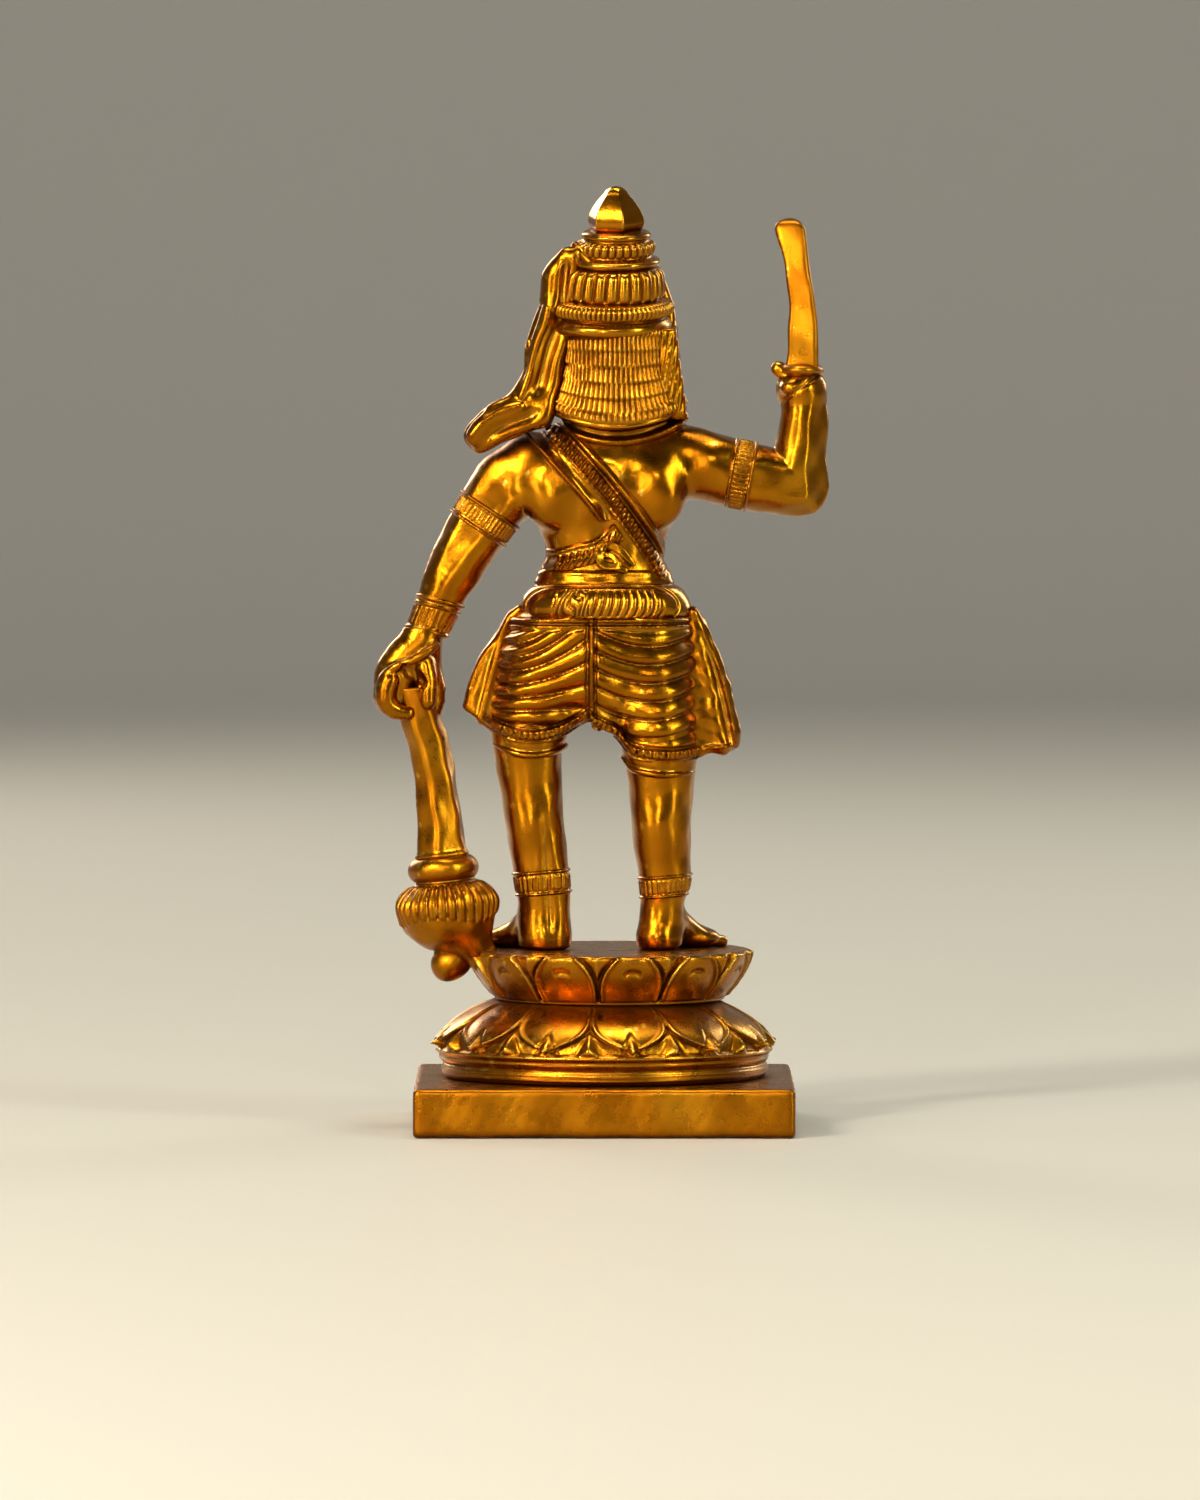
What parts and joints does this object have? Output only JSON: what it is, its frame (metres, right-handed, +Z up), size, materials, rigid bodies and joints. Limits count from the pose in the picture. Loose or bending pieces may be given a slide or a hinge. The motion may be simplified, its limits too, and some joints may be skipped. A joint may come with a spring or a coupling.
{
  "type": "standing figure statue",
  "caption": "Small cast brass guardian figure with a raised billhook and a grounded mace, standing on a round lotus pedestal over a square plinth.",
  "frame": {"origin": "centre of the square plinth's underside", "axes": "+Z up, the figure faces -Y, its right hand is on the -X side"},
  "size_m": [0.0369, 0.0306, 0.076],
  "materials": {
    "brass_body": "polished, darker in the recesses",
    "brass_base": "polished cast, pitted",
    "brass_dress": "cast folds, dark in the grooves",
    "brass_headgear": "chased lines, dark in the grooves",
    "brass_held": "polished"
  },
  "bodies": {
    "root": {"back_rosette": "brass_dress", "billhook_blade": "brass_held", "billhook_grip": "brass_held", "billhook_guard": "brass_held", "chest_pendant": "brass_body", "collar": "brass_body", "cross_strap": "brass_dress", "crown_band": "brass_headgear", "crown_bulb": "brass_headgear", "crown_finial": "brass_headgear", "crown_ring": "brass_headgear", "dhoti": "brass_dress", "front_sash": "brass_dress", "hair": "brass_headgear", "head": "brass_body", "head_cloth": "brass_headgear", "left_anklet": "brass_body", "left_armlet": "brass_body", "left_bracelet": "brass_body", "left_ear_ornament": "brass_body", "left_foot": "brass_body", "left_forearm": "brass_body", "left_hand": "brass_body", "left_hem_band": "brass_dress", "left_leg": "brass_body", "left_sash_end": "brass_dress", "left_upper_arm": "brass_body", "lotus_foot_ring": "brass_base", "lower_lotus": "brass_base", "mace_collar": "brass_held", "mace_head": "brass_held", "mace_rest": "brass_held", "mace_shaft": "brass_held", "mace_tip": "brass_held", "neck": "brass_body", "plinth": "brass_base", "right_anklet": "brass_body", "right_armlet": "brass_body", "right_ear_ornament": "brass_body", "right_elbow": "brass_body", "right_foot": "brass_body", "right_forearm": "brass_body", "right_hand": "brass_body", "right_hem_band": "brass_dress", "right_leg": "brass_body", "right_sash_end": "brass_dress", "right_upper_arm": "brass_body", "shoulder_strap": "brass_dress", "side_lappet": "brass_headgear", "torso": "brass_body", "turban_knot": "brass_headgear", "upper_lotus": "brass_base", "waist_belt": "brass_dress", "waist_cord": "brass_dress"}
  },
  "joints": []
}
